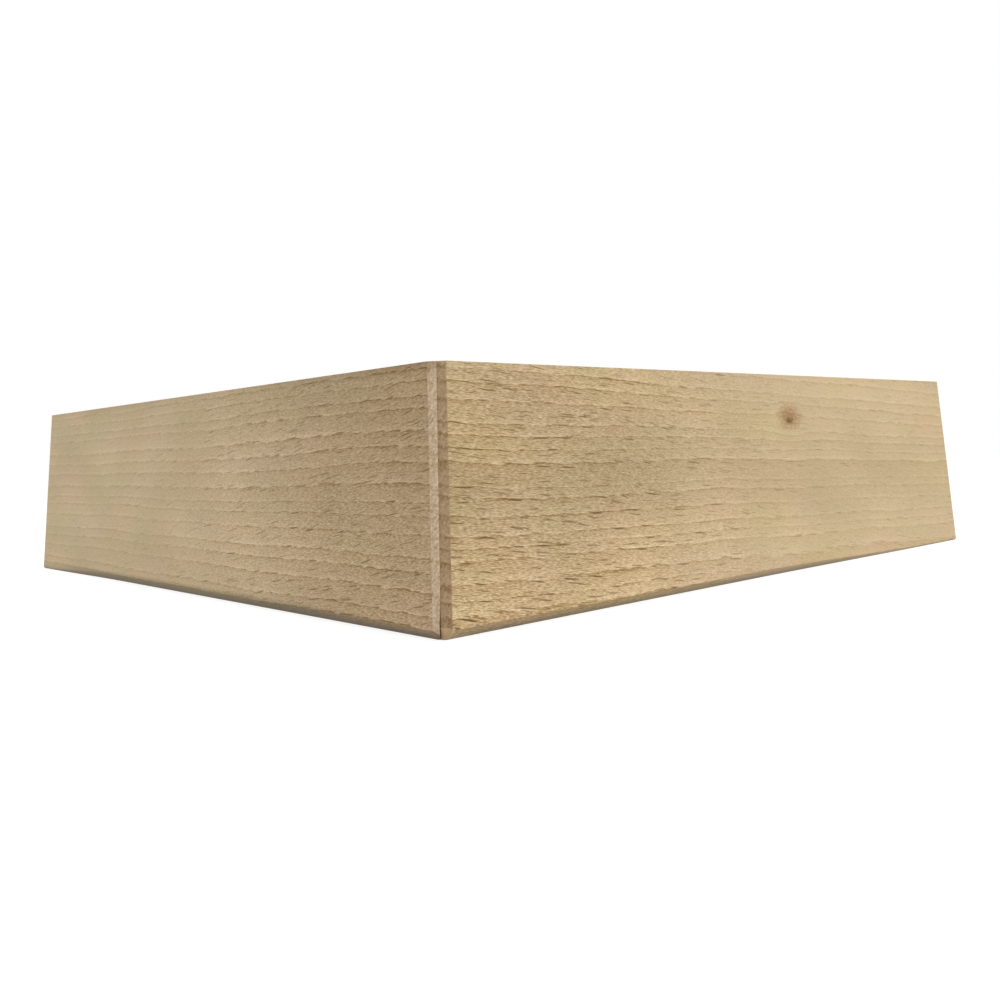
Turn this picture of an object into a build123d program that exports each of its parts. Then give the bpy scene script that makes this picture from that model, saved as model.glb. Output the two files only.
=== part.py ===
"""Mitred corner foot in beech, for a sofa, a bed or a cabinet.

Two boards meet in a mitre and form an L in plan. The outer corner and the outer floor edges are chamfered once
the boards are joined, so each chamfer runs on from one board to the other. Dowels lie across the mitre. A block
is glued and screwed into the inner corner, and its upright holes take the screws that hold the furniture.

Lengths are in millimetres. The foot stands on the floor with +Z up. The mitre lies in the YZ plane, the outer
corner points along -Y, and an arm runs away from it to either side. The origin is the middle of the foot's box,
on the floor. Left and right are as seen from outside the corner.
"""

from build123d import *

import os
from math import radians, sqrt, tan

# Boards
arm_length = 210.0
board_thickness = 22.0
foot_height = 50.0

# Edges broken once the boards are joined
corner_chamfer = 2.6
floor_chamfer = 1.8

# Joint that has opened a little at the floor
gap_width = 0.35
gap_height = 6.0
gap_depth = 4.0

# Dowels across the mitre
dowel_diameter = 6.0
dowel_length = 20.0
dowel_end_chamfer = 0.8
dowel_from_inner_corner = 7.0
dowel_from_edge = 14.0
glue_film = 0.05
dowel_hole_spare = 0.5

# Block in the inner corner, flush with the top of the boards and clear of the floor
block_leg = 64.0
block_tip = 12.0
block_lift = 14.0
block_relief = 4.0
block_edge_chamfer = 1.0

# Upright holes for the furniture's screws, sunk from below
fixing_hole_diameter = 5.5
fixing_sink_diameter = 11.0
fixing_sink_angle = 90.0
fixing_from_block_end = 12.0
fixing_from_board = 10.0

# Screws from the block into the boards, one above the other so that they can't meet
screw_diameter = 4.0
screw_length = 40.0
screw_point_length = 5.0
screw_head_diameter = 8.0
screw_head_rim = 0.4
screw_head_angle = 90.0
screw_from_block_end = 28.0
screw_skin = 6.0
screw_hole_clearance = 0.25
screw_seat_clearance = 0.05
pocket_wall = 1.5
recess_width = 4.4
recess_slot = 1.1
recess_depth = 2.2
recess_taper = 12.0

# Places worked out from the sizes
diagonal = sqrt(2)
tip_setback = corner_chamfer / diagonal
arm_reach = (arm_length + board_thickness) / diagonal
outer_y = -(tip_setback + arm_reach) / 2
inner_y = outer_y + board_thickness * diagonal
block_height = foot_height - block_lift
arm_direction = (1, 1, 0)
outer_plane = Plane(origin=(0, outer_y, 0), x_dir=arm_direction, z_dir=(0, 0, 1))
inner_plane = Plane(origin=(0, inner_y, 0), x_dir=arm_direction, z_dir=(0, 0, 1))

dowel_y = inner_y - dowel_from_inner_corner
dowel_places = [(dowel_y, dowel_from_edge), (dowel_y, foot_height - dowel_from_edge)]
fixing_along = block_leg - fixing_from_block_end
fixing_places = [(fixing_along, fixing_from_board), (fixing_from_board, fixing_along)]

head_slope = tan(radians(screw_head_angle / 2))
head_depth = screw_head_rim + (screw_head_diameter - screw_diameter) / 2 / head_slope
pocket_radius = screw_head_diameter / 2 + screw_head_rim * head_slope + screw_seat_clearance
screw_along = block_leg - screw_from_block_end
screw_seat = screw_length - (board_thickness - screw_skin)
block_middle = block_lift + block_height / 2
screw_offset = pocket_radius + pocket_wall / 2
right_seat = Plane(
    origin=inner_plane.from_local_coords((screw_along, screw_seat, block_middle + screw_offset)),
    x_dir=(0, 0, 1),
    z_dir=inner_plane.y_dir,
)
left_seat = Plane(
    origin=inner_plane.from_local_coords((screw_seat, screw_along, block_middle - screw_offset)),
    x_dir=(0, 0, 1),
    z_dir=inner_plane.x_dir,
)

os.makedirs("parts", exist_ok=True)

# Both boards as one L, chamfered round the outer corner and bored for the dowels and the block's screws
with BuildPart() as joined_boards:
    with BuildSketch(outer_plane):
        with BuildLine():
            Polyline(
                (0, 0),
                (arm_length, 0),
                (arm_length, board_thickness),
                (board_thickness, board_thickness),
                (board_thickness, arm_length),
                (0, arm_length),
                close=True,
            )
        make_face()
    extrude(amount=foot_height)
    outer_edge = joined_boards.edges().filter_by(Axis.Z).sort_by(Axis.Y)[0]
    chamfer(outer_edge, length=corner_chamfer)
    floor_face = joined_boards.faces().sort_by(Axis.Z)[0]
    outer_floor_edges = floor_face.edges().sort_by(Axis.Y)[:3]
    chamfer(outer_floor_edges, length=floor_chamfer)
    with BuildSketch(Plane.YZ):
        with Locations(*dowel_places):
            Circle(dowel_diameter / 2 + glue_film)
    extrude(amount=dowel_length / 2 + dowel_hole_spare, both=True, mode=Mode.SUBTRACT)
    with Locations(right_seat, left_seat):
        Hole(screw_diameter / 2 + screw_seat_clearance, depth=screw_length)

# Right board: its half of the L, cut at the mitre
with BuildPart() as right_board:
    add(joined_boards.part)
    split(bisect_by=Plane.YZ, keep=Keep.TOP)

# Left board: the other half, with the mitre worn open where its tip meets the floor
with BuildPart() as left_board:
    add(joined_boards.part)
    split(bisect_by=Plane.YZ, keep=Keep.BOTTOM)
    with BuildSketch(Plane.XZ.offset(-outer_y)):
        with BuildLine():
            Polyline((0, 0), (-gap_width, 0), (0, gap_height), close=True)
        make_face()
    extrude(amount=-(tip_setback + gap_depth), mode=Mode.SUBTRACT)

# Dowels across the mitre
with BuildPart() as mitre_dowels:
    with BuildSketch(Plane.YZ):
        with Locations(*dowel_places):
            Circle(dowel_diameter / 2)
    extrude(amount=dowel_length / 2, both=True)
    dowel_rims = mitre_dowels.edges().filter_by(GeomType.CIRCLE)
    chamfer(dowel_rims, length=dowel_end_chamfer)

# Corner block: a snipped triangle with two upright holes and two angled screw pockets
with BuildPart() as corner_block:
    with BuildSketch(inner_plane.offset(block_lift)):
        with BuildLine():
            Polyline(
                (block_relief, 0),
                (block_leg, 0),
                (block_leg, block_tip),
                (block_tip, block_leg),
                (0, block_leg),
                (0, block_relief),
                close=True,
            )
        make_face()
    extrude(amount=block_height)
    long_face_edges = corner_block.faces().sort_by(Axis.Y)[-1].edges()
    chamfer(long_face_edges, length=block_edge_chamfer)
    sink_origin = inner_plane.from_local_coords((0, 0, block_lift))
    upside_down = Plane(sink_origin, x_dir=inner_plane.y_dir, z_dir=(0, 0, -1))
    with Locations(upside_down):
        with Locations(*fixing_places):
            CounterSinkHole(
                fixing_hole_diameter / 2,
                fixing_sink_diameter / 2,
                depth=block_height,
                counter_sink_angle=fixing_sink_angle,
            )
    with Locations(right_seat, left_seat):
        CounterSinkHole(
            screw_diameter / 2 + screw_hole_clearance,
            pocket_radius,
            depth=screw_seat,
            counter_sink_angle=screw_head_angle,
        )

# One countersunk screw, head up, with its top at the origin
with BuildPart() as screw:
    with BuildSketch(Plane.XZ):
        with BuildLine():
            Polyline(
                (0, 0),
                (screw_head_diameter / 2, 0),
                (screw_head_diameter / 2, -screw_head_rim),
                (screw_diameter / 2, -head_depth),
                (screw_diameter / 2, screw_point_length - screw_length),
                (0, -screw_length),
                close=True,
            )
        make_face()
    revolve(axis=Axis.Z)
    with BuildSketch():
        Rectangle(recess_width, recess_slot)
        Rectangle(recess_slot, recess_width)
    extrude(amount=-recess_depth, taper=recess_taper, mode=Mode.SUBTRACT)

# Both screws in their pockets
with BuildPart() as block_screws:
    with Locations(right_seat, left_seat):
        add(screw.part)

right_board.part.label = "right_board"
export_step(right_board.part, "parts/right_board.step")
left_board.part.label = "left_board"
export_step(left_board.part, "parts/left_board.step")
mitre_dowels.part.label = "mitre_dowels"
export_step(mitre_dowels.part, "parts/mitre_dowels.step")
corner_block.part.label = "corner_block"
export_step(corner_block.part, "parts/corner_block.step")
block_screws.part.label = "block_screws"
export_step(block_screws.part, "parts/block_screws.step")
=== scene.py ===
"""Beech corner foot.

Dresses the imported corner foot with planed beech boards, a sawn corner block and zinc-plated screws.
"""

from math import radians, sqrt
from typing import NamedTuple

import bpy
import numpy as np
from bpy.props import FloatProperty, FloatVectorProperty, PointerProperty
from mathutils import Matrix, Vector


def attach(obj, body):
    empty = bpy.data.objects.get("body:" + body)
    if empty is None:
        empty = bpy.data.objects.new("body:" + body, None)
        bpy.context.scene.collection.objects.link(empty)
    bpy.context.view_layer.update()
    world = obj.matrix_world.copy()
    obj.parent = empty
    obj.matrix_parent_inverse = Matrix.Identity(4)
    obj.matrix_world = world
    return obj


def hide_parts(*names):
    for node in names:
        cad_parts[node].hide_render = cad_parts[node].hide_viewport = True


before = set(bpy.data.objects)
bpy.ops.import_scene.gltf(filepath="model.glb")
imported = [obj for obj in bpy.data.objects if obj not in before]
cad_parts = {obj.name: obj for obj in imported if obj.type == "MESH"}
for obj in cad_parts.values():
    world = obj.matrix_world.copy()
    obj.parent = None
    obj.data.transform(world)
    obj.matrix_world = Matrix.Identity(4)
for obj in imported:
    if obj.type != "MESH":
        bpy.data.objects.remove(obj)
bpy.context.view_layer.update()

bl_info = {
    "name": "Beech Corner Foot",
    "version": (1, 0, 0),
    "blender": (4, 5, 0),
    "location": "View3D > Sidebar > Corner Foot",
    "description": "Builds the looks of a mitred beech corner foot around its solids",
    "category": "Object",
}

BODY = "root"
DIAGONAL = sqrt(2)
MM = 0.001
PER_METRE = 1000.0
SAME_PLANE = 0.01 * MM
WHITE = (1.0, 1.0, 1.0, 1.0)


def measure_board():
    """Sizes of the boards, read from the right board's solid along its own axes, in metres."""
    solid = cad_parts["right_board"].data
    places = np.zeros(len(solid.vertices) * 3, np.float32)
    solid.vertices.foreach_get("co", places)
    x, y, z = places.reshape(-1, 3).astype(float).T
    along = (x + y) / DIAGONAL
    inward = (y - x) / DIAGONAL
    corner = inward.min()
    on_outer_face = inward < corner + SAME_PLANE
    return {
        "outer_y": corner * DIAGONAL,
        "arm_length": along.max() - corner,
        "thickness": inward.max() - corner,
        "height": z.max(),
        "corner_chamfer": 2 * (along.min() - corner),
        "floor_chamfer": z[on_outer_face].min(),
    }


BOARD = measure_board()


def length_property(name, description, default):
    """A length in metres for a property group."""
    return FloatProperty(
        name=name,
        description=description,
        default=default,
        precision=5,
        subtype="DISTANCE",
        unit="LENGTH",
    )


def colour_property(name, description, default):
    """A colour with alpha for a property group."""
    return FloatVectorProperty(
        name=name,
        description=description,
        default=(*default, 1.0),
        size=4,
        min=0.0,
        max=1.0,
        subtype="COLOR",
    )


def angle_property(name, description, degrees):
    """An angle for a property group."""
    return FloatProperty(name=name, description=description, default=radians(degrees), subtype="ANGLE")


def power_property(name, description, default):
    """A lamp's power in watts for a property group."""
    return FloatProperty(name=name, description=description, default=default, unit="POWER")


class FootSizes(bpy.types.PropertyGroup):
    """Sizes of the boards and of their edges."""

    arm_length: length_property(
        "Arm length",
        "Length of a board's outer face, measured from the sharp corner",
        BOARD["arm_length"],
    )
    thickness: length_property("Thickness", "Thickness of a board", BOARD["thickness"])
    height: length_property("Height", "Height of the foot", BOARD["height"])
    corner_chamfer: length_property(
        "Corner chamfer",
        "Width taken off each board at the outer corner",
        BOARD["corner_chamfer"],
    )
    floor_chamfer: length_property(
        "Floor chamfer",
        "Width taken off the outer edges at the floor",
        BOARD["floor_chamfer"],
    )
    arris: length_property("Arris", "Width of the soft edge that sanding leaves", 0.12 * MM)
    joint_lean: length_property(
        "Joint lean",
        "How far the joint line runs to the left at the floor",
        0.33 * MM,
    )
    gap_width: length_property("Joint gap", "Width of the opened mitre near the floor", 0.28 * MM)
    gap_height: length_property("Joint gap height", "Height up to which the mitre stands open", 6.0 * MM)
    gap_depth: length_property("Joint gap depth", "Depth to which the mitre stands open", 4.0 * MM)
    hairline: length_property("Hairline", "Width of the glue line, finer above the open joint", 0.05 * MM)


class FootFinish(bpy.types.PropertyGroup):
    """Colours of the wood and of the screws, some of them painted light and shade."""

    left_pale: colour_property(
        "Left beech",
        "Left board between its flecks, at the corner",
        (0.469, 0.329, 0.174),
    )
    right_pale: colour_property(
        "Right beech",
        "Right board between its flecks, at the corner",
        (0.533, 0.383, 0.195),
    )
    # Partly paler wood and partly painted light that brightens the arms' ends
    paler: colour_property("Paler", "Both boards between their flecks, at the ends", (0.603, 0.459, 0.264))
    fleck: colour_property("Fleck", "Ray flecks and pores", (0.19, 0.10, 0.018))
    # Lit and shaded copies of one end grain: the left board's is painted lighter and the right board's
    # darker, for how differently each side of the mitre reflects the light
    lit_left_end: colour_property("Left end grain", "End grain of the left board", (0.69, 0.515, 0.335))
    shaded_right_end: colour_property("Right end grain", "End grain of the right board", (0.50, 0.335, 0.19))
    knot: colour_property("Knot", "Pin knot on the right board", (0.37, 0.205, 0.085))
    # Painted shadow: a grey darkening of the floor chamfer, where shade falls
    painted_shadow: colour_property("Floor film", "What the film at the floor lets through", (0.42, 0.46, 0.53))
    chip: colour_property(
        "Chip",
        "Browned end grain at the floor, on the left board's tip",
        (0.50, 0.25, 0.10),
    )
    fresh: colour_property(
        "Fresh wood",
        "Pale end grain at the floor, on the right board's tip",
        (1.0, 0.74, 0.42),
    )
    zinc: colour_property("Zinc", "Plating of the screws", (0.62, 0.60, 0.55))


class FootStage(bpy.types.PropertyGroup):
    """Camera and lamps of the stage."""

    camera_place: FloatVectorProperty(
        name="Camera place",
        description="Where the camera stands",
        default=(0.02051, -0.26557, 0.03324),
        subtype="TRANSLATION",
        unit="LENGTH",
    )
    camera_heading: angle_property("Camera heading", "Turn of the view to the left of straight ahead", 2.517)
    camera_pitch: angle_property("Camera pitch", "Tilt of the view above the horizon", 11.404)
    camera_roll: angle_property("Camera roll", "Turn of the camera about its view", 2.056)
    camera_lens: FloatProperty(name="Lens", description="Focal length", default=35.316, unit="CAMERA")
    right_lamp: power_property("Right lamp", "Power of the right lamp", 1.3)
    left_lamp: power_property("Left lamp", "Power of the left lamp", 0.6)
    top_lamp: power_property("Top lamp", "Power of the top lamp", 3.0)
    sky: FloatProperty(name="Sky", description="Light from all around", default=0.6)


class BoardLook(NamedTuple):
    """What differs from one board to the other.

    Names that end in _up and _along hold ramps over the height and along the board, in mm from the floor and
    from the sharp corner. The other places are shares of the arm's length or of the height.
    """

    side: int

    # How the board was cut: place in the tree in mm, lean of the rings in degrees, their pitch in mm, and
    # the slopes of the grain and of the flecks
    cut_from: tuple
    ring_lean: float
    ring_pitch: float
    tilt: float
    slope: float

    # Grain: share of strong flecks left out, contrast at the corner, and where along the arm it has calmed
    rareness: float
    contrast: float
    calm_at: float

    # End grain on the corner facet
    facet_rings: float
    facet_rays: float

    # Where along the arm the wood has gone paler, and how far: partly paler wood, partly painted light on
    # the ends.
    # Painted bounce light from the floor, lighter towards the floor: its span over the height, and its
    # strength at the corner and far from it
    paler_at: float
    paler_share: float
    painted_bounce_span: tuple
    lift: tuple

    # Wear and painted shade: new colour on the tip at the floor, painted shade over the floor chamfer,
    # a painted shadow on it, and painted shade on the upper edge
    tip_share: float
    chamfer_shade_hue: tuple
    chamfer_shade_up: tuple
    chamfer_shade_along: tuple
    painted_shadow_up: tuple
    painted_shadow_along: tuple
    top_shade_up: tuple
    top_shade_along: tuple

    # Floor chamfer: where along the face it starts to fade and over what share, and its wear on the facet
    fade_from: float
    fade_over: float
    tip_power: int
    tip_rise: float
    tip_inset: float


LOOKS = {
    "left": BoardLook(
        side=-1,
        cut_from=(340.0, -40.0, 83.0),
        ring_lean=62,
        ring_pitch=2.8,
        tilt=0.0,
        slope=0.18,
        rareness=0.4,
        contrast=0.97,
        calm_at=0.7,
        facet_rings=0.3,
        facet_rays=1.0,
        # Paler ends: partly paler wood, partly painted light
        paler_at=0.46,
        paler_share=1.0,
        # Painted bounce light from the floor
        painted_bounce_span=(0.95, 0.25),
        lift=(0.21, 0.06),
        tip_share=0.6,
        # Painted shade over the floor chamfer and just above it
        chamfer_shade_hue=(0.55, 0.535, 0.485, 1.0),
        chamfer_shade_up=(3.0, 1.7),
        chamfer_shade_along=((0.0, 60, 0.15, 1.0), (150, 205, 1.0, 0.2)),
        # Grey painted shadow on the floor chamfer
        painted_shadow_up=(1.8, 0.1),
        painted_shadow_along=((10, 45, 0.95, 0.55), (2.8, 3.6, 0.3, 1.0)),
        # Painted shade on the upper edge
        top_shade_up=(47.8, 49.2),
        top_shade_along=((45, 5, 0.35, 1.0),),
        fade_from=0.7,
        fade_over=0.3,
        tip_power=1,
        tip_rise=-0.4,
        tip_inset=0.0,
    ),
    "right": BoardLook(
        side=1,
        cut_from=(0.0, 17.0, 31.0),
        ring_lean=107,
        ring_pitch=3.0,
        tilt=0.035,
        slope=0.07,
        rareness=0.06,
        contrast=1.08,
        calm_at=0.64,
        facet_rings=0.75,
        facet_rays=0.7,
        # Paler ends: partly paler wood, partly painted light
        paler_at=0.62,
        paler_share=0.75,
        # Painted bounce light from the floor
        painted_bounce_span=(0.5, 0.04),
        lift=(0.35, 0.16),
        tip_share=0.68,
        # Painted shade over the floor chamfer and just above it
        chamfer_shade_hue=(1.0, 0.975, 0.96, 1.0),
        chamfer_shade_up=(3.4, 2.4),
        chamfer_shade_along=(),
        # Grey painted shadow on the floor chamfer
        painted_shadow_up=(1.4, 0.1),
        painted_shadow_along=((125, 190, 0.65, 0.0), (2.6, 9.0, 0.3, 1.0)),
        top_shade_up=(),
        top_shade_along=(),
        fade_from=0.45,
        fade_over=0.5,
        tip_power=4,
        tip_rise=0.25,
        tip_inset=0.3,
    ),
}

# Sockets of the Mix node that carry colours
MIX_SHARE = 0
MIX_FIRST = 6
MIX_SECOND = 7
MIX_RESULT = 2


class Wiring:
    """Adds nodes to one shader tree. An input takes a number, a colour, a vector or a node's output."""

    def __init__(self, tree):
        self.tree = tree

    def feed(self, socket, value):
        """Links an output to a socket, or sets the socket to a constant."""
        if isinstance(value, bpy.types.NodeSocket):
            self.tree.links.new(value, socket)
        else:
            socket.default_value = value

    def node(self, kind, inputs=(), **settings):
        """A node with its settings and its inputs, which are given by name or by number."""
        node = self.tree.nodes.new(f"ShaderNode{kind}")
        for name, value in settings.items():
            setattr(node, name, value)
        for key, value in dict(inputs).items():
            self.feed(node.inputs[key], value)
        return node

    def math(self, operation, *values):
        return self.node("Math", enumerate(values), operation=operation).outputs[0]

    def vector(self, operation, *values):
        return self.node("VectorMath", enumerate(values), operation=operation).outputs[0]

    def scaled(self, vector, factor):
        return self.node("VectorMath", {"Vector": vector, "Scale": factor}, operation="SCALE").outputs[0]

    def length(self, vector):
        return self.node("VectorMath", {0: vector}, operation="LENGTH").outputs["Value"]

    def split(self, vector):
        return self.node("SeparateXYZ", {0: vector}).outputs

    def join(self, x, y, z):
        return self.node("CombineXYZ", {0: x, 1: y, 2: z}).outputs[0]

    def ramp(self, value, start, end, low=0.0, high=1.0):
        """Goes smoothly from low at start to high at end."""
        inputs = {"Value": value, "From Min": start, "From Max": end, "To Min": low, "To Max": high}
        return self.node("MapRange", inputs, interpolation_type="SMOOTHSTEP").outputs[0]

    def mix(self, share, first, second, blend="MIX"):
        inputs = {MIX_SHARE: share, MIX_FIRST: first, MIX_SECOND: second}
        return self.node("Mix", inputs, data_type="RGBA", blend_type=blend).outputs[MIX_RESULT]

    def noise(self, vector, detail=1.0):
        """Value and colour of a cloudy noise with features about one unit long."""
        node = self.node("TexNoise", {"Vector": vector, "Scale": 1.0, "Detail": detail})
        return node.outputs[0], node.outputs[1]


def shader_group(name, inputs, outputs):
    """A new shader group with named sockets: its wiring, its inputs and its outputs."""
    tree = bpy.data.node_groups.new(name, "ShaderNodeTree")
    for socket, kind in inputs.items():
        tree.interface.new_socket(socket, in_out="INPUT", socket_type=f"NodeSocket{kind}")
    for socket, kind in outputs.items():
        tree.interface.new_socket(socket, in_out="OUTPUT", socket_type=f"NodeSocket{kind}")
    given = tree.nodes.new("NodeGroupInput").outputs
    result = tree.nodes.new("NodeGroupOutput").inputs
    return Wiring(tree), given, result


# Sizes in beech in mm: along the grain, across the rings and along them
FIBRE_SIZE = (1.1, 0.25, 0.18)
STREAK_SIZE = (6.0, 1.2, 0.6)
RAY_SIZE = (0.6, 5.0, 0.3)
STRONG_CELL = (7.0, 5.0, 1.0)
STRONG_HALF = (2.9, 3.0, 0.19)
FAINT_CELL = (5.4, 3.6, 0.6)
FAINT_HALF = (2.0, 2.0, 0.13)

# Detail of the finer noises
FINE_DETAIL = 2.0

# Flecks: sizes in shares of the half sizes, where a fleck starts to thin out, and how their strengths spread
FLECK_SIZES = (0.55, 1.1)
FLECK_BODY = 0.55
FLECK_SPREAD = 0.5

# Faint flecks: share left out, and strength. Strong flecks: strength, and what late wood adds to it
FAINT_RARENESS = 0.2
FAINT_SHARE = 0.6
STRONG_BASE = 0.75
STRONG_IN_LATE = 0.5

# Bends of the grain: features per mm, and how far they move it in mm
MIDDLE = (0.5, 0.5, 0.5)
SLOW_RATE = (1 / 70, 1 / 26, 1 / 26)
SLOW_BEND = (0.0, 3.0, 3.0)
QUICK_RATE = (1 / 5, 1 / 2.5, 1 / 2.5)
QUICK_WAVE = 0.65

# Growth rings: how unevenly they follow each other and how ragged they are, in rings
UNEVEN_RATE = 0.45
UNEVEN = 1.8
RAGGED = 0.5

# Parts of a ring between two soft edges, each from where it starts to where it is full, in shares of a ring
LIGHT_EDGES = ((0.42, 0.05), (0.0, 0.05))
LATE_EDGES = ((0.60, 0.95), (1.0, 0.95))
LINE_EDGES = ((0.86, 0.95), (1.0, 0.96))
GLINT_EDGES = ((0.15, 0.06), (0.0, 0.04))

# Ramps: strength of the dark line over the streaks, and of line and glint over the contrast
LINE_BREAKS = (0.12, -0.12, 0.1, 1.5)
CRISP = (0.3, 0.9, 0.2, 1.0)

# Tones on the face, as shares of its brightness, and the strength of the rings without and by contrast
FIBRE_TONE = 2.2
STREAK_TONE = 0.12
OWN_TONE = 0.07
LATE_TONE = -0.11
LIGHT_TONE = 0.1
LINE_TONE = -0.34
GLINT_TONE = 0.13
RING_BASE = 0.6
RING_BY_CONTRAST = 0.35

# Blotches: features per mm, their tone, what they do to the rings, and their hue
BLOTCH_RATE = (1 / 24, 1 / 14, 1 / 14)
BLOTCH_TONE = 0.2
BLOTCH_ON_RINGS = (0.3, 0.7, 0.65, 1.25)
HUE_SPREAD = (0.09, 0.09, 0.14)
HUE_LEAST = (0.955, 0.955, 0.93)

# End grain: how far a surface faces along the grain, and its tones
END_FACING = (0.25, 0.65)
SPECK_RATE = (2.2, 2.2, 2.2)
SPECK_TONE = 1.15
RAY_TONE = 0.9
END_LATE_TONE = -0.4
END_LIGHT_TONE = 0.15

# Lowest tone, and how far red, green and blue follow a tone
LEAST_TONE = -0.6
TONE_SHARES = (0.82, 1.02, 1.4)

# Gloss and relief of the face
FACE_ROUGHNESS = 0.56
FIBRE_ROUGHNESS = 0.25
FLECK_ROUGHNESS = -0.08
END_ROUGHNESS = 0.12
FLECK_HEIGHT = -0.8


def grain_place(wire, along, radial, drift, size):
    """Grain coordinates in units of a feature's length, depth and width."""
    length, depth, width = size
    return wire.join(
        wire.math("DIVIDE", along, length),
        wire.math("DIVIDE", radial, depth),
        wire.math("DIVIDE", drift, width),
    )


def fleck_layer(wire, along, radial, drift, cell, half, rare):
    """Lens-shaped flecks, one in each cell, each with its own size and strength.

    Cell and half are a cell's size and half a fleck's size, along, radial and drift, in mm.
    """
    place = grain_place(wire, along, radial, drift, cell)
    found = wire.node("TexVoronoi", {"Vector": place, "Scale": 1.0, "Randomness": 1.0}).outputs
    draw = wire.split(found["Color"])
    offset = wire.vector("SUBTRACT", place, found["Position"])
    reach = wire.length(wire.vector("MULTIPLY", offset, [whole / part for whole, part in zip(cell, half)]))
    size = wire.ramp(draw[0], 0.0, 1.0, *FLECK_SIZES)
    body = wire.ramp(reach, size, wire.math("MULTIPLY", size, FLECK_BODY))
    strength = wire.ramp(draw[1], rare, wire.math("ADD", rare, FLECK_SPREAD))
    return wire.math("MULTIPLY", body, strength)


def about_zero(wire, noise):
    """Noise moved from about a half to about zero."""
    return wire.math("SUBTRACT", noise, 0.5)


def stretched_noise(wire, along, radial, drift, size):
    """Noise about zero with features of the given length, depth and width."""
    place = grain_place(wire, along, radial, drift, size)
    return about_zero(wire, wire.noise(place, FINE_DETAIL)[0])


def tone_colour(wire, tone):
    """Colour factor for a tone about zero.

    Light wood is paler and dark wood browner, so blue changes most.
    """
    clear = wire.math("MAXIMUM", tone, LEAST_TONE)
    return wire.vector("MULTIPLY_ADD", wire.join(clear, clear, clear), TONE_SHARES, (1.0, 1.0, 1.0))


def soft_band(wire, value, first, second):
    """Mask between two soft edges, each given as where it starts and where it is full."""
    return wire.math("MULTIPLY", wire.ramp(value, *first), wire.ramp(value, *second))


def grain_axes(wire, given):
    """Place in the tree, and measures along the grain, across and along the rings, and across the flecks.

    All are in mm. The board's place is moved to where it was cut, and rises with the tilt. A slow noise
    bends the sheets of the rings, which lean about the grain. On the face the flecks lie level, but for a
    slope and a quick wave.
    """
    in_mm = wire.scaled(given["Place"], PER_METRE)
    rise = wire.math("MULTIPLY", wire.split(in_mm)[0], given["Tilt"])
    spot = wire.vector("ADD", wire.vector("ADD", in_mm, given["Cut From"]), wire.join(0.0, 0.0, rise))
    slow = wire.noise(wire.vector("MULTIPLY", spot, SLOW_RATE))[1]
    bend = wire.vector("MULTIPLY", wire.vector("SUBTRACT", slow, MIDDLE), SLOW_BEND)
    quick = wire.noise(wire.vector("MULTIPLY", spot, QUICK_RATE))[0]
    wave = wire.math("MULTIPLY", about_zero(wire, quick), QUICK_WAVE)
    bent = wire.vector("ADD", spot, bend)
    turned = wire.node(
        "VectorRotate",
        {"Vector": bent, "Angle": given["Ring Lean"]},
        rotation_type="X_AXIS",
        invert=True,
    ).outputs[0]
    along, radial, tangent = wire.split(turned)
    upright = wire.math("DIVIDE", tangent, wire.math("COSINE", given["Ring Lean"]))
    drift = wire.math("ADD", wire.math("MULTIPLY_ADD", given["Slope"], along, upright), wave)
    return spot, along, radial, tangent, drift


def growth_rings(wire, radial, streak, pitch):
    """Masks of a ring's light start, late wood, dark line and bright edge, and each ring's own draw.

    The count of rings grows unevenly across them. Its fraction goes from 0 at a ring's start to 1 at its
    end.
    """
    steps = wire.math("DIVIDE", radial, pitch)
    uneven = wire.noise(wire.join(0.0, wire.math("MULTIPLY", steps, UNEVEN_RATE), 0.0))[0]
    count = wire.math("MULTIPLY_ADD", uneven, UNEVEN, wire.math("MULTIPLY_ADD", streak, RAGGED, steps))
    within = wire.math("FRACT", count)
    light = soft_band(wire, within, *LIGHT_EDGES)
    late = soft_band(wire, within, *LATE_EDGES)
    line = wire.math("MULTIPLY", soft_band(wire, within, *LINE_EDGES), wire.ramp(streak, *LINE_BREAKS))
    glint = soft_band(wire, within, *GLINT_EDGES)
    ring = wire.math("FLOOR", count)
    own = wire.node("TexWhiteNoise", {"W": ring}, noise_dimensions="1D").outputs["Value"]
    return light, late, line, glint, own


def ring_tones(wire, rings, blotch, contrast):
    """Tone of the rings on the face.

    A ring starts light, dims, and is darkest in a line before the next one starts.
    """
    light, late, line, glint, own = rings
    tone = wire.math("MULTIPLY_ADD", own, OWN_TONE, -OWN_TONE / 2)
    tone = wire.math("MULTIPLY_ADD", late, LATE_TONE, tone)
    tone = wire.math("MULTIPLY_ADD", light, LIGHT_TONE, tone)
    edge = wire.math("MULTIPLY_ADD", line, LINE_TONE, wire.math("MULTIPLY", glint, GLINT_TONE))
    tone = wire.math("MULTIPLY_ADD", edge, wire.ramp(contrast, *CRISP), tone)
    tone = wire.math("MULTIPLY", tone, wire.ramp(blotch, *BLOTCH_ON_RINGS))
    tone = wire.math("MULTIPLY", tone, wire.math("MULTIPLY_ADD", contrast, RING_BY_CONTRAST, RING_BASE))
    return wire.math("ADD", tone, wire.math("MULTIPLY_ADD", blotch, BLOTCH_TONE, -BLOTCH_TONE / 2))


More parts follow.
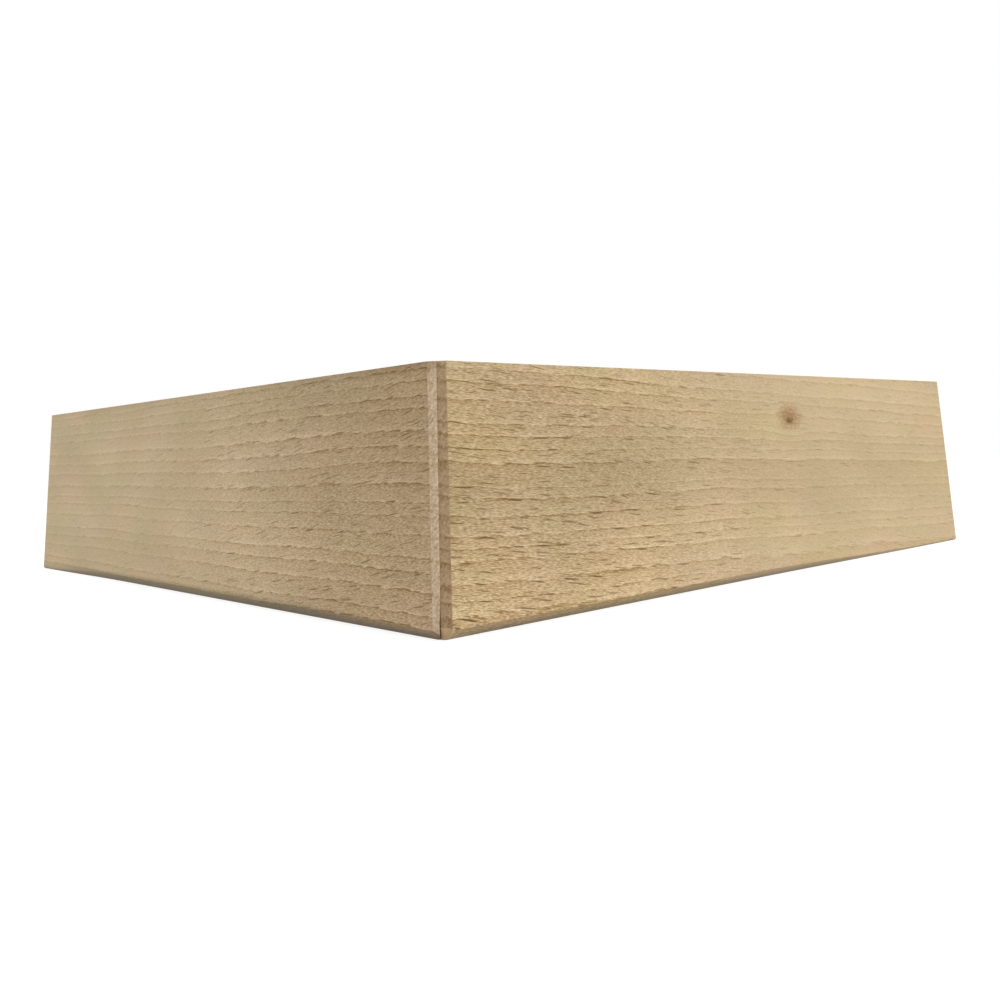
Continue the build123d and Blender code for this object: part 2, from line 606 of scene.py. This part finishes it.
def beech_group():
    """Shader group for beech, in board axes with x along the grain.

    Growth rings are sheets that lean about the grain, and flecks are lenses in those sheets. Where the
    surface faces along the grain, the end-grain colour with stronger rings and fine rays takes over.
    """
    inputs = {
        "Place": "Vector",
        "Facing": "Vector",
        "Cut From": "Vector",
        "Pale": "Color",
        "Fleck": "Color",
        "End": "Color",
        "Ring Lean": "Float",
        "Ring Pitch": "Float",
        "Tilt": "Float",
        "Slope": "Float",
        "Contrast": "Float",
        "Rareness": "Float",
        "End Rings": "Float",
        "End Rays": "Float",
    }
    outputs = {"Color": "Color", "Roughness": "Float", "Height": "Float"}
    wire, given, result = shader_group("beech", inputs, outputs)
    contrast = given["Contrast"]
    spot, along, radial, tangent, drift = grain_axes(wire, given)
    grain = (along, radial, drift)
    fibre = stretched_noise(wire, *grain, FIBRE_SIZE)
    streak = stretched_noise(wire, *grain, STREAK_SIZE)
    rings = growth_rings(wire, radial, streak, given["Ring Pitch"])
    light, late = rings[:2]

    strong = fleck_layer(wire, *grain, STRONG_CELL, STRONG_HALF, given["Rareness"])
    strong = wire.math("MULTIPLY", strong, wire.math("MULTIPLY_ADD", late, STRONG_IN_LATE, STRONG_BASE))
    strong = wire.math("MULTIPLY", strong, contrast)
    faint = fleck_layer(wire, *grain, FAINT_CELL, FAINT_HALF, FAINT_RARENESS)
    faint = wire.math("MULTIPLY", faint, contrast)
    fibre = wire.math("MULTIPLY", wire.math("MULTIPLY_ADD", streak, STREAK_TONE, fibre), contrast)

    blotch, hue = wire.noise(wire.vector("MULTIPLY", spot, BLOTCH_RATE), 0.0)
    tint = wire.vector("MULTIPLY_ADD", hue, HUE_SPREAD, HUE_LEAST)
    tone = wire.math("MULTIPLY_ADD", fibre, FIBRE_TONE, ring_tones(wire, rings, blotch, contrast))
    face = wire.mix(1.0, given["Pale"], tint, "MULTIPLY")
    face = wire.mix(1.0, face, tone_colour(wire, tone), "MULTIPLY")
    face = wire.mix(wire.math("MULTIPLY", faint, FAINT_SHARE), face, given["Fleck"])
    face = wire.mix(strong, face, given["Fleck"])

    on_end = wire.ramp(wire.math("ABSOLUTE", wire.split(given["Facing"])[0]), *END_FACING)
    ray = stretched_noise(wire, along, radial, tangent, RAY_SIZE)
    speck = about_zero(wire, wire.noise(wire.vector("MULTIPLY", spot, SPECK_RATE), FINE_DETAIL)[0])
    end_ring = wire.math("MULTIPLY_ADD", late, END_LATE_TONE, wire.math("MULTIPLY", light, END_LIGHT_TONE))
    end_tone = wire.math("MULTIPLY", speck, SPECK_TONE)
    end_tone = wire.math("MULTIPLY_ADD", end_ring, given["End Rings"], end_tone)
    end_tone = wire.math("MULTIPLY_ADD", wire.math("MULTIPLY", ray, given["End Rays"]), RAY_TONE, end_tone)
    end = wire.mix(1.0, given["End"], tone_colour(wire, end_tone), "MULTIPLY")

    wire.feed(result["Color"], wire.mix(on_end, face, end))
    rough = wire.math("MULTIPLY_ADD", strong, FLECK_ROUGHNESS, FACE_ROUGHNESS)
    rough = wire.math("MULTIPLY_ADD", fibre, FIBRE_ROUGHNESS, rough)
    wire.feed(result["Roughness"], wire.math("MULTIPLY_ADD", on_end, END_ROUGHNESS, rough))
    wire.feed(result["Height"], wire.math("MULTIPLY_ADD", strong, FLECK_HEIGHT, fibre))
    return wire.tree


BARE_WOOD_SPECULAR = 0.3
RELIEF_STRENGTH = 0.6
PLANED_RELIEF = 0.06 * MM
SAWN_RELIEF = 0.08 * MM


def new_material(name):
    """A material with its wiring and its Principled shader."""
    material = bpy.data.materials.new(name)
    material.use_nodes = True
    return material, Wiring(material.node_tree), material.node_tree.nodes["Principled BSDF"]


def beech(wire, inputs):
    """Outputs of the beech group, which is built when it is first asked for."""
    group = bpy.data.node_groups.get("beech") or beech_group()
    return wire.node("Group", inputs, node_tree=group).outputs


def finish_wood(wire, shader, colour, roughness, height, depth):
    """Bare wood on a shader, with bump from a height that is given in shares of depth."""
    wire.feed(shader.inputs["Base Color"], colour)
    wire.feed(shader.inputs["Roughness"], roughness)
    shader.inputs["Specular IOR Level"].default_value = BARE_WOOD_SPECULAR
    bump = wire.node("Bump", {"Height": height, "Strength": RELIEF_STRENGTH, "Distance": depth})
    wire.feed(shader.inputs["Normal"], bump.outputs[0])


# Pin knot on the right board, in mm from the sharp corner and from the floor. An oval is half its width and
# half its height, and an edge goes from where it starts to where it is full, in shares of the oval
KNOT_ALONG = 118.9
KNOT_UP = 38.0
KNOT_BY_DEPTH = 0.2
KNOT_GRAIN = 1.6
HALO_ALONG = 0.3
HALO_UP = 1.0
HALO_OVAL = (6.8, 4.0)
HALO_RAGGED = 1.3
HALO_EDGE = (1.1, 0.1)
CORE_OVAL = (1.5, 0.65)
CORE_RAGGED = 2.0
CORE_EDGE = (1.7, 0.5)
FLOW_OVAL = (12.0, 7.0)
FLOW_PUSH = (1.0, 0.15, 0.0, -0.5)


def oval(wire, across, up, depth, half):
    """Distance from an oval's middle, 1 on its rim. It grows with depth too, so the oval fades inwards."""
    half_across, half_up = half
    place = wire.join(wire.math("DIVIDE", across, half_across), wire.math("DIVIDE", up, half_up), depth)
    return wire.length(place)


def pin_knot(wire, place):
    """Grain that flows round a pin knot, and the masks of its halo and its core."""
    x, y, z = wire.split(wire.scaled(place, PER_METRE))
    depth = wire.math("MULTIPLY", y, KNOT_BY_DEPTH)
    fine = wire.noise(wire.join(x, y, wire.math("MULTIPLY", z, KNOT_GRAIN)), FINE_DETAIL)[0]
    ragged = about_zero(wire, fine)
    off_x = wire.math("SUBTRACT", x, KNOT_ALONG)
    off_z = wire.math("SUBTRACT", z, KNOT_UP)
    side_x = wire.math("SUBTRACT", off_x, HALO_ALONG)
    side_z = wire.math("SUBTRACT", off_z, HALO_UP)
    halo_reach = oval(wire, side_x, side_z, depth, HALO_OVAL)
    halo_reach = wire.math("ADD", halo_reach, wire.math("MULTIPLY", ragged, HALO_RAGGED))
    core_reach = oval(wire, off_x, off_z, depth, CORE_OVAL)
    core_reach = wire.math("ADD", core_reach, wire.math("MULTIPLY", ragged, CORE_RAGGED))
    push = wire.ramp(oval(wire, off_x, off_z, depth, FLOW_OVAL), *FLOW_PUSH)
    flow = wire.scaled(wire.join(x, y, wire.math("MULTIPLY_ADD", off_z, push, z)), MM)
    return flow, wire.ramp(halo_reach, *HALO_EDGE), wire.ramp(core_reach, *CORE_EDGE)


# Painted shade on the left board's upper edge, darkest at the corner
TOP_SHADE_HUE = (0.74, 0.68, 0.62, 1.0)


def edge_mask(wire, up, along, up_ramp, along_ramps):
    """Mask on a board's edge: a ramp over the height, times ramps along the board, all of them in mm."""
    start, end = up_ramp
    mask = wire.ramp(up, start * MM, end * MM)
    for start, end, low, high in along_ramps:
        mask = wire.math("MULTIPLY", mask, wire.ramp(along, start * MM, end * MM, low, high))
    return mask


def shaded_edges(wire, up, along, look, colour, shadow_hue):
    """Colour with painted shade on a board's edges.

    At the floor that is painted shade over the chamfer and just above it, and a grey painted shadow on it,
    thin at the corner. The left board's upper edge is darkened with painted shade, most of all at the
    corner.
    """
    # Painted shade along the left board's upper edge
    if look.top_shade_up:
        top_shade = edge_mask(wire, up, along, look.top_shade_up, look.top_shade_along)
        colour = wire.mix(top_shade, colour, TOP_SHADE_HUE, "MULTIPLY")
    # Painted shade over the floor chamfer and just above it
    chamfer_shade = edge_mask(wire, up, along, look.chamfer_shade_up, look.chamfer_shade_along)
    # Grey painted shadow on the floor chamfer
    painted_shadow = edge_mask(wire, up, along, look.painted_shadow_up, look.painted_shadow_along)
    colour = wire.mix(chamfer_shade, colour, look.chamfer_shade_hue, "MULTIPLY")
    return wire.mix(painted_shadow, colour, shadow_hue, "MULTIPLY")


# Painted bounce light from the floor, lighter towards the floor: how far along the arm it still changes, the
# painted brightness that it is added to on each board, the right one's as a ramp over the height, and how
# much more blue changes
BOUNCE_REACH = 0.8
LEFT_BASE_LIGHT = 0.97
RIGHT_BASE_LIGHT = (0.5, 0.8, 0.96, 1.02)
BOUNCE_BLUE = 1.25

# Grain far from the corner, and where along the arm the corner facet's end grain gives way to the arm's end
CALM_CONTRAST = 0.3
FACET_TO_END = (0.03, 0.1)
ARM_END_RINGS = 0.75
ARM_END_RAYS = 0.35

# Facing of the floor chamfer, and where along the board the tip's chamfer ends
CHAMFER_FACING = (-0.1, -0.35)
TIP_END = (3.4 * MM, 2.9 * MM)

# Turn about the upright that lays a board's place along X
BOARD_TURN = radians(-45)


def board_material(name, look, finish):
    """Planed beech of one board with painted light and shade on it, laid along the board by turning the
    frame's axes to it.
    """
    material, wire, shader = new_material(f"beech {name}")
    coordinates = wire.node("TexCoord").outputs
    turn = {"Rotation": (0.0, 0.0, BOARD_TURN), "Scale": (look.side, 1.0, 1.0)}
    corner = -BOARD["outer_y"] / DIAGONAL
    moved = {"Vector": coordinates["Object"], "Location": (corner, corner, 0.0)}
    place = wire.node("Mapping", {**moved, **turn}).outputs[0]
    normal = {"Vector": coordinates["Normal"]}
    facing = wire.node("Mapping", {**normal, **turn}, vector_type="VECTOR").outputs[0]
    along, _, up = wire.split(place)
    far = wire.math("MULTIPLY", along, 1 / BOARD["arm_length"])
    level = wire.math("MULTIPLY", up, 1 / BOARD["height"])
    # The left board takes the lit copy of the end grain, the right board the shaded copy
    if look.side == 1:
        corner_pale, end_colour, tip_colour = finish.right_pale, finish.shaded_right_end, finish.fresh
        base_light = wire.ramp(level, *RIGHT_BASE_LIGHT)
        grain, halo, core = pin_knot(wire, place)
    else:
        corner_pale, end_colour, tip_colour = finish.left_pale, finish.lit_left_end, finish.chip
        base_light = LEFT_BASE_LIGHT
        grain = place

    # Painted bounce light from the floor, lighter towards the floor, on a base brightness that is painted
    # lighter at the top of the right board
    most_bounce = wire.ramp(far, 0.0, BOUNCE_REACH, *look.lift)
    lift = wire.math("MULTIPLY", wire.ramp(level, *look.painted_bounce_span), most_bounce)
    lift = wire.math("ADD", lift, base_light)
    painted_bounce_blue = wire.math("MULTIPLY_ADD", lift, BOUNCE_BLUE, 1 - BOUNCE_BLUE)
    # Paler towards the ends: partly paler wood, partly painted light
    pale = wire.mix(wire.ramp(far, 0.0, look.paler_at, 0.0, look.paler_share), corner_pale, finish.paler)
    pale = wire.mix(1.0, pale, wire.join(lift, lift, painted_bounce_blue), "MULTIPLY")
    wood = beech(wire, {
        "Place": grain,
        "Facing": facing,
        "Cut From": look.cut_from,
        "Pale": pale,
        "Fleck": finish.fleck,
        "End": end_colour,
        "Ring Lean": radians(look.ring_lean),
        "Ring Pitch": look.ring_pitch,
        "Tilt": look.tilt,
        "Slope": look.slope,
        "Contrast": wire.ramp(far, 0.0, look.calm_at, look.contrast, CALM_CONTRAST),
        "Rareness": look.rareness,
        "End Rings": wire.ramp(far, *FACET_TO_END, look.facet_rings, ARM_END_RINGS),
        "End Rays": wire.ramp(far, *FACET_TO_END, look.facet_rays, ARM_END_RAYS),
    })
    on_chamfer = wire.ramp(wire.split(facing)[2], *CHAMFER_FACING)
    on_tip = wire.math("MULTIPLY", on_chamfer, wire.ramp(along, *TIP_END, 0.0, look.tip_share))
    colour = wire.mix(on_tip, wood["Color"], tip_colour)
    if look.side == 1:
        colour = wire.mix(halo, colour, finish.knot)
        colour = wire.mix(core, colour, finish.fleck)
    # Painted shade and a painted shadow on the board's edges
    colour = shaded_edges(wire, up, along, look, colour, finish.painted_shadow)
    finish_wood(wire, shader, colour, wood["Roughness"], wood["Height"], PLANED_RELIEF)
    return material


# Saw marks: size along X, Y and Z in mm, lean from the upright, and their shade and height
SAW_SIZE = (0.55, 40.0, 30.0)
SAW_LEAN = 0.06
SAW_SHADE = 0.5
SAW_HEIGHT = 2.0


def straight_material(name, finish, pale, sawn):
    """Beech with its grain along the frame's X axis.

    Sawn, from 0 to 1, is the strength of the upright saw marks.
    """
    material, wire, shader = new_material(name)
    coordinates = wire.node("TexCoord").outputs
    wood = beech(wire, {
        "Place": coordinates["Object"],
        "Facing": coordinates["Normal"],
        "Cut From": (700.0, 12.0, 5.0),
        "Pale": pale,
        "Fleck": finish.fleck,
        # The left board's lit copy of the end grain
        "End": finish.lit_left_end,
        "Ring Lean": radians(65),
        "Ring Pitch": 3.4,
        "Tilt": 0.0,
        "Slope": 0.05,
        "Contrast": 1.0,
        "Rareness": 0.4,
        "End Rings": 0.8,
        "End Rays": 0.5,
    })
    x, y, z = wire.split(wire.scaled(coordinates["Object"], PER_METRE))
    across_marks = wire.math("MULTIPLY_ADD", z, SAW_LEAN, x)
    marks = wire.math("MULTIPLY", stretched_noise(wire, across_marks, y, z, SAW_SIZE), sawn)
    shade = wire.math("MULTIPLY_ADD", marks, SAW_SHADE, 1.0)
    colour = wire.mix(1.0, wood["Color"], wire.join(shade, shade, shade), "MULTIPLY")
    height = wire.math("MULTIPLY_ADD", marks, SAW_HEIGHT, wood["Height"])
    finish_wood(wire, shader, colour, wood["Roughness"], height, SAWN_RELIEF)
    return material


# Clouds in the plating: features per metre, where dull zinc shows, and how rough it is
CLOUD_RATE = 700.0
CLOUD_DETAIL = 3.0
CLOUD_SPAN = (0.4, 0.7)
CLOUD_ROUGHNESS = (0.3, 0.7, 0.28, 0.44)
DULL_SHARE = 0.25
DULL_HUE = (0.40, 0.37, 0.30, 1.0)


def zinc_material(finish):
    """Zinc-plated steel with a faint cloudiness."""
    material, wire, shader = new_material("zinc steel")
    place = wire.node("TexCoord").outputs["Object"]
    cloud = wire.noise(wire.scaled(place, CLOUD_RATE), CLOUD_DETAIL)[0]
    dull = wire.mix(DULL_SHARE, finish.zinc, DULL_HUE)
    wire.feed(shader.inputs["Base Color"], wire.mix(wire.ramp(cloud, *CLOUD_SPAN), finish.zinc, dull))
    wire.feed(shader.inputs["Roughness"], wire.ramp(cloud, *CLOUD_ROUGHNESS))
    shader.inputs["Metallic"].default_value = 1.0
    return material


def dress(node, material):
    """Put a material on a CAD node's object."""
    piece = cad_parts[node]
    if not piece.material_slots:
        piece.data.materials.append(material)
    for slot in piece.material_slots:
        slot.material = material


def box_skin(counts):
    """Lattice steps and outward quads of a box's skin, cut into counts cells each way.

    The lattice numbers only its outer points. Each side is a slice of it, and the sides whose own two axes
    turn the other way about the outward direction are listed backwards.
    """
    steps = np.indices([count + 1 for count in counts])
    last = np.array(counts)[:, None, None, None]
    on_skin = ((steps == 0) | (steps == last)).any(0)
    number = np.full(on_skin.shape, -1)
    number[on_skin] = np.arange(on_skin.sum())
    quads = []
    for axis in range(3):
        for end in (0, -1):
            side = np.take(number, end, axis)
            corners = (side[:-1, :-1], side[1:, :-1], side[1:, 1:], side[:-1, 1:])
            quad = np.stack(corners, -1).reshape(-1, 4)
            outward = (end == -1) != (axis == 1)
            quads.append(quad if outward else quad[:, ::-1])
    return steps[:, on_skin], np.concatenate(quads)


def new_piece(name, places, faces):
    """A smooth-shaded mesh object with its place in its mesh."""
    mesh = bpy.data.meshes.new(name)
    mesh.from_pydata(places.tolist(), [], faces.tolist())
    mesh.polygons.foreach_set("use_smooth", np.ones(len(mesh.polygons), bool))
    mesh.update()
    piece = bpy.data.objects.new(name, mesh)
    bpy.context.scene.collection.objects.link(piece)
    return piece


# Cells of a board's skin along, inwards and up, and how many of them the facet and the floor chamfer take
ALONG_CELLS = 66
FACET_CELLS = 3
INWARD_CELLS = 8
UP_CELLS = 26
CHAMFER_CELLS = 2

# Strips in the bevel of a soft arris
ARRIS_SEGMENTS = 2

# Share of the floor chamfer that is gone at an arm's end
CHAMFER_FADED = 0.75

# Open joint: where it is widest and how far it reaches from there, as shares of its height
GAP_MIDDLE = 0.35
GAP_REACH = 0.6

# Hairline: from a start at the floor its width falls by 1 over each span of the foot's height, and it is
# kept between a least and 1, all as shares of the full width
HAIRLINE_SPAN = 0.13
HAIRLINE_START = 1.9
HAIRLINE_LEAST = 0.35


def board_places(size, look, steps):
    """Places on one board's skin, for lattice steps along, inwards and up.

    In plan the outer line is the corner facet and then the outer face, the inner line is the inner face, and
    a point lies on the straight line between them. Both parts of the outer line move in near the floor, by
    the floor chamfer's width less the height. The chamfer fades smoothly towards the arm's end, and on the
    facet wear makes it lower on the left board and steeper on the right one. The joint's lean and its gap
    move the points at the joint, and those across the facet less and less.
    """
    step_along, step_in, step_up = steps.astype(float)
    share_in = step_in / INWARD_CELLS
    on_facet = np.clip(step_along / FACET_CELLS, 0, 1)
    on_face = np.clip((step_along - FACET_CELLS) / (ALONG_CELLS - FACET_CELLS), 0, 1)

    fade = np.clip((on_face - look.fade_from) / look.fade_over, 0, 1)
    chamfer = size.floor_chamfer * (1 - CHAMFER_FADED * fade ** 2 * (3 - 2 * fade))
    at_tip = 1 - on_facet ** look.tip_power
    rise = chamfer * (1 + look.tip_rise * at_tip)
    low = np.clip(step_up / CHAMFER_CELLS, 0, 1)
    high = np.clip((step_up - CHAMFER_CELLS) / (UP_CELLS - CHAMFER_CELLS), 0, 1)
    height = rise * low + (size.height - rise) * high
    inset = chamfer * (1 - low) * (1 - look.tip_inset * at_tip)

    tip = (size.corner_chamfer + DIAGONAL * inset) / 2
    face_start = size.corner_chamfer + (DIAGONAL - 1) * inset
    outer_along = tip + (face_start - tip) * on_facet + (size.arm_length - face_start) * on_face
    outer_in = tip + (inset - tip) * on_facet
    inner_along = size.thickness + (size.arm_length - size.thickness) * step_along / ALONG_CELLS
    along = outer_along + (inner_along - outer_along) * share_in
    inward = outer_in + (size.thickness - outer_in) * share_in

    near_joint = np.where(step_in == 0, 1 - on_facet, step_along == 0)
    shift = -look.side * size.joint_lean * (1 - height / size.height) * near_joint
    if look.side == -1:
        from_widest = np.abs(height / size.gap_height - GAP_MIDDLE)
        gap = size.gap_width * np.clip(1 - from_widest / GAP_REACH, 0, 1)
        thinned = HAIRLINE_START - height / (HAIRLINE_SPAN * size.height)
        gap += size.hairline * np.clip(thinned, HAIRLINE_LEAST, 1)
        depth = (inward - outer_in) * DIAGONAL
        shift += gap * np.clip(1 - depth / size.gap_depth, 0, 1) * near_joint
    along += shift / DIAGONAL
    inward -= shift / DIAGONAL
    x = look.side * (along - inward) / DIAGONAL
    y = BOARD["outer_y"] + (along + inward) / DIAGONAL
    return np.stack([x, y, height], -1)


def soften_edges(board, steps, width):
    """Bevel every sharp edge but those in the joint, where the two boards are sanded flush.

    An edge is sharp where both its ends lie on the same two sides of the lattice, or on the same fold of the
    outer side.
    """
    step_along, step_in, step_up = steps
    outer = step_in == 0
    inner = step_in == INWARD_CELLS
    end = step_along == ALONG_CELLS
    top = step_up == UP_CELLS
    floor = step_up == 0
    pairs = ((outer, top), (outer, floor), (inner, top), (inner, floor))
    end_pairs = ((end, outer), (end, inner), (end, top), (end, floor))
    folds = ((outer, step_along == FACET_CELLS), (outer, step_up == CHAMFER_CELLS))
    lines = [one & other for one, other in (*pairs, *end_pairs, *folds)]
    ends = np.zeros(len(board.data.edges) * 2, np.int32)
    board.data.edges.foreach_get("vertices", ends)
    first, second = ends.reshape(-1, 2).T
    sharp = np.any([line[first] & line[second] for line in lines], axis=0)
    weights = board.data.attributes.new("bevel_weight_edge", "FLOAT", "EDGE")
    weights.data.foreach_set("value", sharp.astype(np.float32))
    bevel = board.modifiers.new("soft arris", "BEVEL")
    bevel.width = width
    bevel.segments = ARRIS_SEGMENTS
    bevel.limit_method = "WEIGHT"
    bevel.harden_normals = True


class FOOT_OT_boards(bpy.types.Operator):
    """Make the two mitred boards"""

    bl_idname = "foot.boards"
    bl_label = "Boards"

    def execute(self, context):
        size = context.scene.foot_sizes
        finish = context.scene.foot_finish
        steps, quads = box_skin((ALONG_CELLS, INWARD_CELLS, UP_CELLS))
        for name, look in LOOKS.items():
            faces = quads if look.side == 1 else quads[:, ::-1]
            board = new_piece(f"beech_board_{name}", board_places(size, look, steps), faces)
            soften_edges(board, steps, size.arris)
            board.data.materials.append(board_material(name, look, finish))
            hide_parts(f"{name}_board")
            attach(board, BODY)
        return {"FINISHED"}


class FOOT_OT_block(bpy.types.Operator):
    """Finish the corner block and the dowels"""

    bl_idname = "foot.block"
    bl_label = "Block and dowels"

    def execute(self, context):
        finish = context.scene.foot_finish
        dress("corner_block", straight_material("sawn beech", finish, finish.right_pale, 1.0))
        # The dowels take the left board's lit copy of the end grain as their colour
        dress("mitre_dowels", straight_material("dowel beech", finish, finish.lit_left_end, 0.0))
        return {"FINISHED"}


class FOOT_OT_screws(bpy.types.Operator):
    """Plate the block's screws"""

    bl_idname = "foot.screws"
    bl_label = "Screws"

    def execute(self, context):
        dress("block_screws", zinc_material(context.scene.foot_finish))
        return {"FINISHED"}


def seen_directly(wire):
    """1 for rays that the camera, a reflection or a clear piece sends, 0 for the rest."""
    path = wire.node("LightPath").outputs
    direct = wire.math("MAXIMUM", path["Is Camera Ray"], path["Is Glossy Ray"])
    return wire.math("MAXIMUM", direct, path["Is Transmission Ray"])


# Floor: half its width in metres, its glow and shade to the eye, and the grey that throws light back
FLOOR_HALF = 3.0
FLOOR_GLOW = 0.83
FLOOR_SHADE = (0.3, 0.3, 0.3, 1.0)
FLOOR_GREY = (0.42, 0.43, 0.45, 1.0)


def floor_material():
    """White to the eye, with the foot's shadow, and a mid grey for the light it throws back."""
    material, wire, shader = new_material("studio floor")
    tree = material.node_tree
    tree.nodes.remove(shader)
    glow = wire.node("Emission", {"Color": WHITE, "Strength": FLOOR_GLOW})
    shade = wire.node("BsdfDiffuse", {"Color": FLOOR_SHADE})
    white = wire.node("AddShader", {0: glow.outputs[0], 1: shade.outputs[0]})
    grey = wire.node("BsdfDiffuse", {"Color": FLOOR_GREY})
    mixed = wire.node("MixShader", {0: seen_directly(wire), 1: grey.outputs[0], 2: white.outputs[0]})
    wire.feed(tree.nodes["Material Output"].inputs["Surface"], mixed.outputs[0])
    return material


def add_floor():
    """A flat square floor."""
    across = np.array([-FLOOR_HALF, FLOOR_HALF])
    x, y = np.meshgrid(across, across)
    places = np.stack([x.ravel(), y.ravel(), 0 * x.ravel()], -1)
    floor = new_piece("floor", places, np.array([[0, 1, 3, 2]]))
    floor.data.materials.append(floor_material())


def add_sky(scene, strength):
    """Even light from all around, white to the eye."""
    world = bpy.data.worlds.new("studio")
    scene.world = world
    world.use_nodes = True
    wire = Wiring(world.node_tree)
    sky = world.node_tree.nodes["Background"]
    sky.inputs["Color"].default_value = WHITE
    sky.inputs["Strength"].default_value = strength
    white = wire.node("Background", {"Color": WHITE, "Strength": 1.0})
    mixed = wire.node("MixShader", {0: seen_directly(wire), 1: sky.outputs[0], 2: white.outputs[0]})
    wire.feed(world.node_tree.nodes["World Output"].inputs["Surface"], mixed.outputs[0])


def add_lamp(name, place, aim, side, power):
    """A square soft lamp that looks at aim."""
    lamp = bpy.data.lights.new(name, "AREA")
    lamp.shape = "SQUARE"
    lamp.size = side
    lamp.energy = power
    holder = bpy.data.objects.new(name, lamp)
    holder.location = place
    holder.rotation_euler = (Vector(aim) - Vector(place)).to_track_quat("-Z", "Y").to_euler()
    bpy.context.scene.collection.objects.link(holder)


# Camera: sensor in mm, shift in shares of the picture's width, and nearest distance in metres
SENSOR_WIDTH = 36.0
SHIFT_X = 0.0017
SHIFT_Y = -0.2486
CLIP_START = 0.01


def add_camera(scene, stage):
    """The camera, level and looking along +Y before it is rolled, pitched up and turned to its heading."""
    camera = bpy.data.objects.new("camera", bpy.data.cameras.new("camera"))
    scene.collection.objects.link(camera)
    camera.data.lens = stage.camera_lens
    camera.data.sensor_width = SENSOR_WIDTH
    camera.data.shift_x = SHIFT_X
    camera.data.shift_y = SHIFT_Y
    camera.data.clip_start = CLIP_START
    turn = Matrix.Rotation(stage.camera_heading, 4, "Z")
    tilt = Matrix.Rotation(radians(90) + stage.camera_pitch, 4, "X")
    roll = Matrix.Rotation(-stage.camera_roll, 4, "Z")
    camera.matrix_world = Matrix.Translation(stage.camera_place) @ turn @ tilt @ roll
    scene.camera = camera


# Lamps: place, aim and length of a side, in metres
RIGHT_LAMP = ((0.48, -0.20, 0.22), (0.10, 0.0, 0.02), 0.4)
LEFT_LAMP = ((-0.48, -0.18, 0.22), (-0.10, 0.0, 0.02), 0.4)
TOP_LAMP = ((0.0, 0.15, 0.9), (0.0, 0.0, 0.0), 0.7)


class FOOT_OT_stage(bpy.types.Operator):
    """Set the floor, the light and the camera"""

    bl_idname = "foot.stage"
    bl_label = "Stage"

    def execute(self, context):
        scene = context.scene
        stage = scene.foot_stage
        add_floor()
        add_sky(scene, stage.sky)
        add_lamp("right lamp", *RIGHT_LAMP, stage.right_lamp)
        add_lamp("left lamp", *LEFT_LAMP, stage.left_lamp)
        add_lamp("top lamp", *TOP_LAMP, stage.top_lamp)
        add_camera(scene, stage)
        scene.view_settings.view_transform = "Standard"
        return {"FINISHED"}


class FOOT_PT_panel(bpy.types.Panel):
    """Lists the foot's pieces, sizes and colours"""

    bl_label = "Corner Foot"
    bl_space_type = "VIEW_3D"
    bl_region_type = "UI"
    bl_category = "Corner Foot"

    def draw(self, context):
        for operator in OPERATORS:
            self.layout.operator(operator.bl_idname)
        for group in (context.scene.foot_sizes, context.scene.foot_finish, context.scene.foot_stage):
            for name in group.__annotations__:
                self.layout.prop(group, name)


OPERATORS = (FOOT_OT_boards, FOOT_OT_block, FOOT_OT_screws, FOOT_OT_stage)
CLASSES = (FootSizes, FootFinish, FootStage, *OPERATORS, FOOT_PT_panel)


def register():
    for cls in CLASSES:
        bpy.utils.register_class(cls)
    bpy.types.Scene.foot_sizes = PointerProperty(type=FootSizes)
    bpy.types.Scene.foot_finish = PointerProperty(type=FootFinish)
    bpy.types.Scene.foot_stage = PointerProperty(type=FootStage)


def unregister():
    del bpy.types.Scene.foot_stage
    del bpy.types.Scene.foot_finish
    del bpy.types.Scene.foot_sizes
    for cls in reversed(CLASSES):
        bpy.utils.unregister_class(cls)


def main():
    register()
    bpy.ops.foot.boards()
    bpy.ops.foot.block()
    bpy.ops.foot.screws()
    bpy.ops.foot.stage()


if __name__ == "__main__":
    main()
